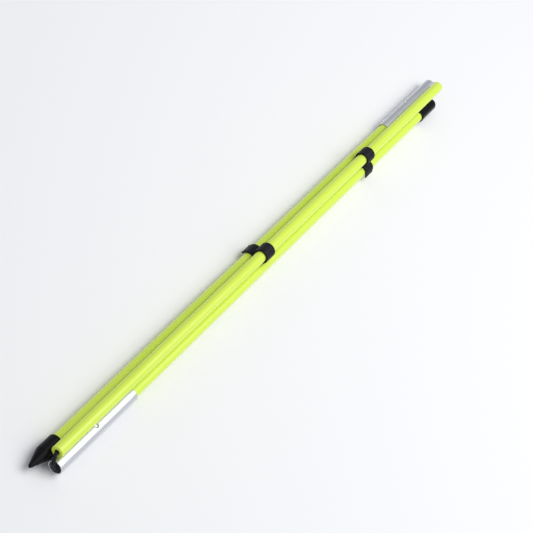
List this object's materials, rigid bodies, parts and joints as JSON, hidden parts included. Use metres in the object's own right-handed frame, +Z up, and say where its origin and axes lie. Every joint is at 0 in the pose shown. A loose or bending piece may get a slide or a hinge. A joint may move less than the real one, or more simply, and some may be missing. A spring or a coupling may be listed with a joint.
{
  "type": "folding marker rod",
  "caption": "Slim folding marker rod: tube sections on one elastic cord, sleeved joints, a moulded point, a domed cap and clips that hold it folded.",
  "frame": {"origin": "centre of the folded rod's box, on the surface it lies on", "axes": "+X along the rod, from the moulded point to the other end; +Z up with the middle section on top"},
  "size_m": [0.4394, 0.0192, 0.0172],
  "materials": {
    "tube_yellow": "gloss fluorescent yellow-green",
    "ferrule_aluminium": "satin, drawn lengthwise",
    "point_black": "moulded, soft sheen",
    "cap_black": "moulded, glossy",
    "clip_charcoal": "moulded, fine grain",
    "cord_black": "braided cover over elastic",
    "washer_steel": "zinc plated"
  },
  "bodies": {
    "middle_section": {"middle_tube": "tube_yellow", "middle_cord": "cord_black"},
    "tip_fold": {"tip_cord_bend": "cord_black"},
    "tip_clip_body": {"tip_clip": "clip_charcoal"},
    "tip_lead": {"tip_socket_cord": "cord_black"},
    "tip_section": {"tip_tube": "tube_yellow", "tip_ferrule": "ferrule_aluminium", "tip_point": "point_black", "tip_cord": "cord_black", "tip_cord_knot": "cord_black", "tip_cord_washer": "washer_steel"},
    "cap_fold": {"cap_cord_bend": "cord_black"},
    "cap_clip_body": {"cap_clip": "clip_charcoal"},
    "cap_lead": {"cap_socket_cord": "cord_black"},
    "cap_section": {"cap_tube": "tube_yellow", "cap_ferrule": "ferrule_aluminium", "end_cap": "cap_black", "cap_cord": "cord_black", "cap_cord_knot": "cord_black", "cap_cord_washer": "washer_steel"}
  },
  "joints": [
    {"name": "tip_turn", "type": "hinge", "parent": "middle_section", "child": "tip_fold", "pos_m": [0, -0.00029, 0.01262], "axis": [1, 0, 0], "range_deg": [0, 120]},
    {"name": "tip_clip_slide", "type": "slide", "parent": "tip_fold", "child": "tip_clip_body", "axis": [1, 0, 0], "range_m": [-0.144, 0.045]},
    {"name": "tip_swing", "type": "hinge", "parent": "tip_fold", "child": "tip_lead", "pos_m": [0.2173, 0.00208, 0.00879], "axis": [0, -0.8504, -0.5262], "range_deg": [0, 180], "deforming": ["tip_cord_bend"]},
    {"name": "tip_seat", "type": "slide", "parent": "tip_lead", "child": "tip_section", "axis": [1, 0, 0], "range_m": [0, 0.0361], "deforming": ["tip_socket_cord", "tip_cord_bend"]},
    {"name": "cap_turn", "type": "hinge", "parent": "middle_section", "child": "cap_fold", "pos_m": [0, -0.00029, 0.01262], "axis": [-1, 0, 0], "range_deg": [0, 120]},
    {"name": "cap_clip_slide", "type": "slide", "parent": "cap_fold", "child": "cap_clip_body", "axis": [1, 0, 0], "range_m": [-0.06, 0.028]},
    {"name": "cap_swing", "type": "hinge", "parent": "cap_fold", "child": "cap_lead", "pos_m": [-0.2091, -0.00238, 0.00864], "axis": [0, 0.885, -0.4656], "range_deg": [0, 180], "deforming": ["cap_cord_bend"]},
    {"name": "cap_seat", "type": "slide", "parent": "cap_lead", "child": "cap_section", "axis": [-1, 0, 0], "range_m": [0, 0.0331], "deforming": ["cap_socket_cord", "cap_cord_bend"]}
  ]
}
